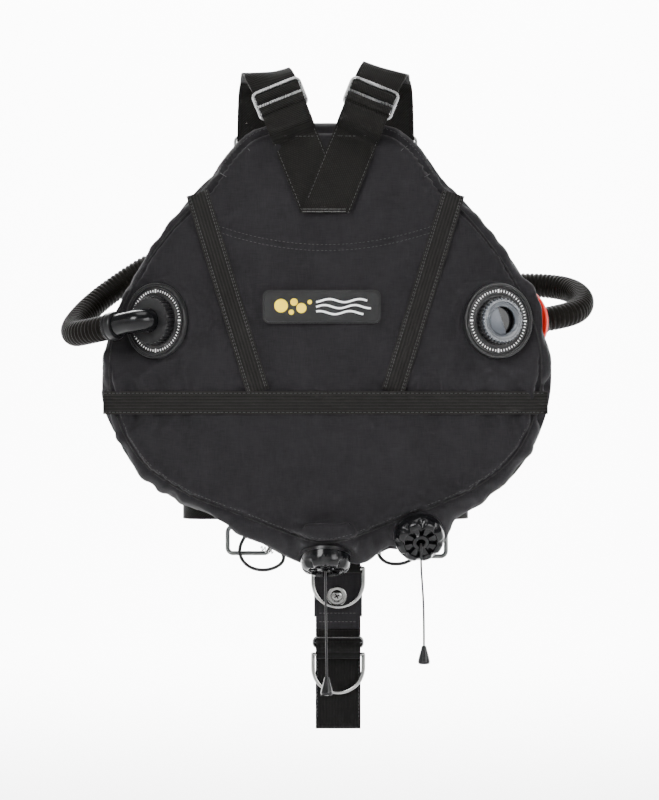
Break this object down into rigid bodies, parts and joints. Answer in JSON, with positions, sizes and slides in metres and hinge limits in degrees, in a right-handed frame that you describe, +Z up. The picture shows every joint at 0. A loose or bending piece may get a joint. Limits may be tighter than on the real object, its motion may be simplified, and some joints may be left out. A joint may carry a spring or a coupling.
{
  "type": "buoyancy compensator vest",
  "caption": "Sidemount buoyancy wing on a one-piece webbing harness, with corrugated hoses, dump valves, rails and D-rings.",
  "frame": {"origin": "top of the two shoulder loops, midway between them, in the plane of the bladder shell rim", "axes": "+Z up along the hanging harness, +X to the right seen from behind the diver, +Y towards the diver"},
  "size_m": [0.5989, 0.2442, 0.7266],
  "materials": {
    "shell_fabric": "coated nylon weave, soft sheen",
    "bladder_film": "heat-sealed film",
    "webbing": "ribbed nylon webbing",
    "patch_rubber": "moulded matte rubber",
    "flange_rubber": "moulded matte rubber",
    "red_rubber": "moulded matte rubber",
    "port_plastic": "glossy moulding",
    "grey_clear_plastic": "tinted translucent moulding",
    "hose_rubber": "satin rubber",
    "bright_steel": "bright drawn wire",
    "grey_steel": "bead-blasted matte grey",
    "cord": "braided cord",
    "knob_plastic": "glossy moulding",
    "button_blue": "matte moulding",
    "button_red": "matte moulding",
    "zip_tape": "woven tape with nylon coil",
    "zip_metal": "satin metal"
  },
  "bodies": {
    "root": {"bar_keepers": "webbing", "book_screw": "bright_steel", "buckle_frame": "bright_steel", "bungee_loops": "cord", "chest_slides": "bright_steel", "cross_band": "webbing", "crotch_end_loop": "webbing", "crotch_slide": "bright_steel", "crotch_strap": "webbing", "diagonal_bands": "webbing", "hose_cuffs": "port_plastic", "inner_zip": "zip_tape", "left_elbow": "port_plastic", "left_hose": "hose_rubber", "left_inflator_body": "port_plastic", "left_port_flange": "flange_rubber", "left_port_nut": "port_plastic", "left_shoulder_strap": "webbing", "left_yoke_strap": "webbing", "lumbar_plate": "bright_steel", "main_bladder": "bladder_film", "mouthpieces": "hose_rubber", "reserve_bladder": "bladder_film", "reserve_elbow": "port_plastic", "reserve_hose": "hose_rubber", "reserve_inflator_body": "port_plastic", "reserve_port_flange": "red_rubber", "reserve_port_nut": "port_plastic", "right_port_flange": "flange_rubber", "right_port_nut": "grey_clear_plastic", "right_port_plug": "grey_clear_plastic", "right_shoulder_strap": "webbing", "right_yoke_strap": "webbing", "rubber_patch": "patch_rubber", "shoulder_slides": "bright_steel", "spine_strap": "webbing", "split_rings": "bright_steel", "tank_rails": "grey_steel", "valve_bases": "port_plastic", "valve_caps": "port_plastic", "waist_belt": "webbing", "wing_gusset": "shell_fabric", "wing_inner_panel": "shell_fabric", "wing_outer_panel": "shell_fabric"},
    "centre_pull": {"centre_pull_cord": "cord", "centre_pull_knob": "knob_plastic"},
    "centre_disc": {"centre_valve_disc": "port_plastic"},
    "right_pull": {"right_pull_cord": "cord", "right_pull_knob": "knob_plastic"},
    "right_disc": {"right_valve_disc": "port_plastic"},
    "left_inflate": {"left_inflate_button": "button_blue"},
    "left_exhaust": {"left_exhaust_button": "button_red"},
    "reserve_inflate": {"reserve_inflate_button": "button_blue"},
    "reserve_exhaust": {"reserve_exhaust_button": "button_red"},
    "left_chest_d": {"left_chest_ring": "bright_steel"},
    "right_chest_d": {"right_chest_ring": "bright_steel"},
    "upper_crotch_d": {"upper_crotch_ring": "bright_steel"},
    "lower_crotch_d": {"lower_crotch_ring": "bright_steel"},
    "belt_flap": {"buckle_flap": "bright_steel"},
    "zip_pull": {"zip_slider": "zip_metal"}
  },
  "joints": [
    {"name": "centre_dump_pull", "type": "slide", "parent": "root", "child": "centre_pull", "axis": [0, 0, -1], "range_m": [0, 0.01], "stiffness_N_per_m": 250},
    {"name": "centre_disc_lift", "type": "slide", "parent": "root", "child": "centre_disc", "axis": [0, -0.361, -0.9326], "range_m": [0, 0.006]},
    {"name": "right_dump_pull", "type": "slide", "parent": "root", "child": "right_pull", "axis": [0, 0, -1], "range_m": [0, 0.01], "stiffness_N_per_m": 250},
    {"name": "right_disc_lift", "type": "slide", "parent": "root", "child": "right_disc", "axis": [0.1198, -0.8583, -0.499], "range_m": [0, 0.006]},
    {"name": "left_inflate_press", "type": "slide", "parent": "root", "child": "left_inflate", "axis": [0, -1, 0], "range_m": [0, 0.004], "stiffness_N_per_m": 400},
    {"name": "left_exhaust_press", "type": "slide", "parent": "root", "child": "left_exhaust", "axis": [0, -1, 0], "range_m": [0, 0.004], "stiffness_N_per_m": 400},
    {"name": "reserve_inflate_press", "type": "slide", "parent": "root", "child": "reserve_inflate", "axis": [0, -1, 0], "range_m": [0, 0.004], "stiffness_N_per_m": 400},
    {"name": "reserve_exhaust_press", "type": "slide", "parent": "root", "child": "reserve_exhaust", "axis": [0, -1, 0], "range_m": [0, 0.004], "stiffness_N_per_m": 400},
    {"name": "left_chest_ring_swing", "type": "hinge", "parent": "root", "child": "left_chest_d", "pos_m": [-0.075, 0.07245, -0.09], "axis": [1, 0, 0], "range_deg": [0, 100]},
    {"name": "right_chest_ring_swing", "type": "hinge", "parent": "root", "child": "right_chest_d", "pos_m": [0.075, 0.07245, -0.09], "axis": [1, 0, 0], "range_deg": [0, 100]},
    {"name": "upper_crotch_ring_swing", "type": "hinge", "parent": "root", "child": "upper_crotch_d", "pos_m": [0.014, 0.02535, -0.546], "axis": [-1, 0, 0], "range_deg": [0, 70]},
    {"name": "lower_crotch_ring_swing", "type": "hinge", "parent": "root", "child": "lower_crotch_d", "pos_m": [0.014, 0.02535, -0.641], "axis": [-1, 0, 0], "range_deg": [0, 110]},
    {"name": "belt_flap_open", "type": "hinge", "parent": "root", "child": "belt_flap", "pos_m": [0.031, 0.0944, -0.467], "axis": [0, 0, -1], "range_deg": [0, 110]},
    {"name": "zip_travel", "type": "slide", "parent": "root", "child": "zip_pull", "axis": [0, 0, -1], "range_m": [0, 0.115]}
  ],
  "couplings": [
    {"joint": "centre_disc_lift", "follows": "centre_dump_pull", "ratio": 0.6},
    {"joint": "right_disc_lift", "follows": "right_dump_pull", "ratio": 0.6}
  ]
}
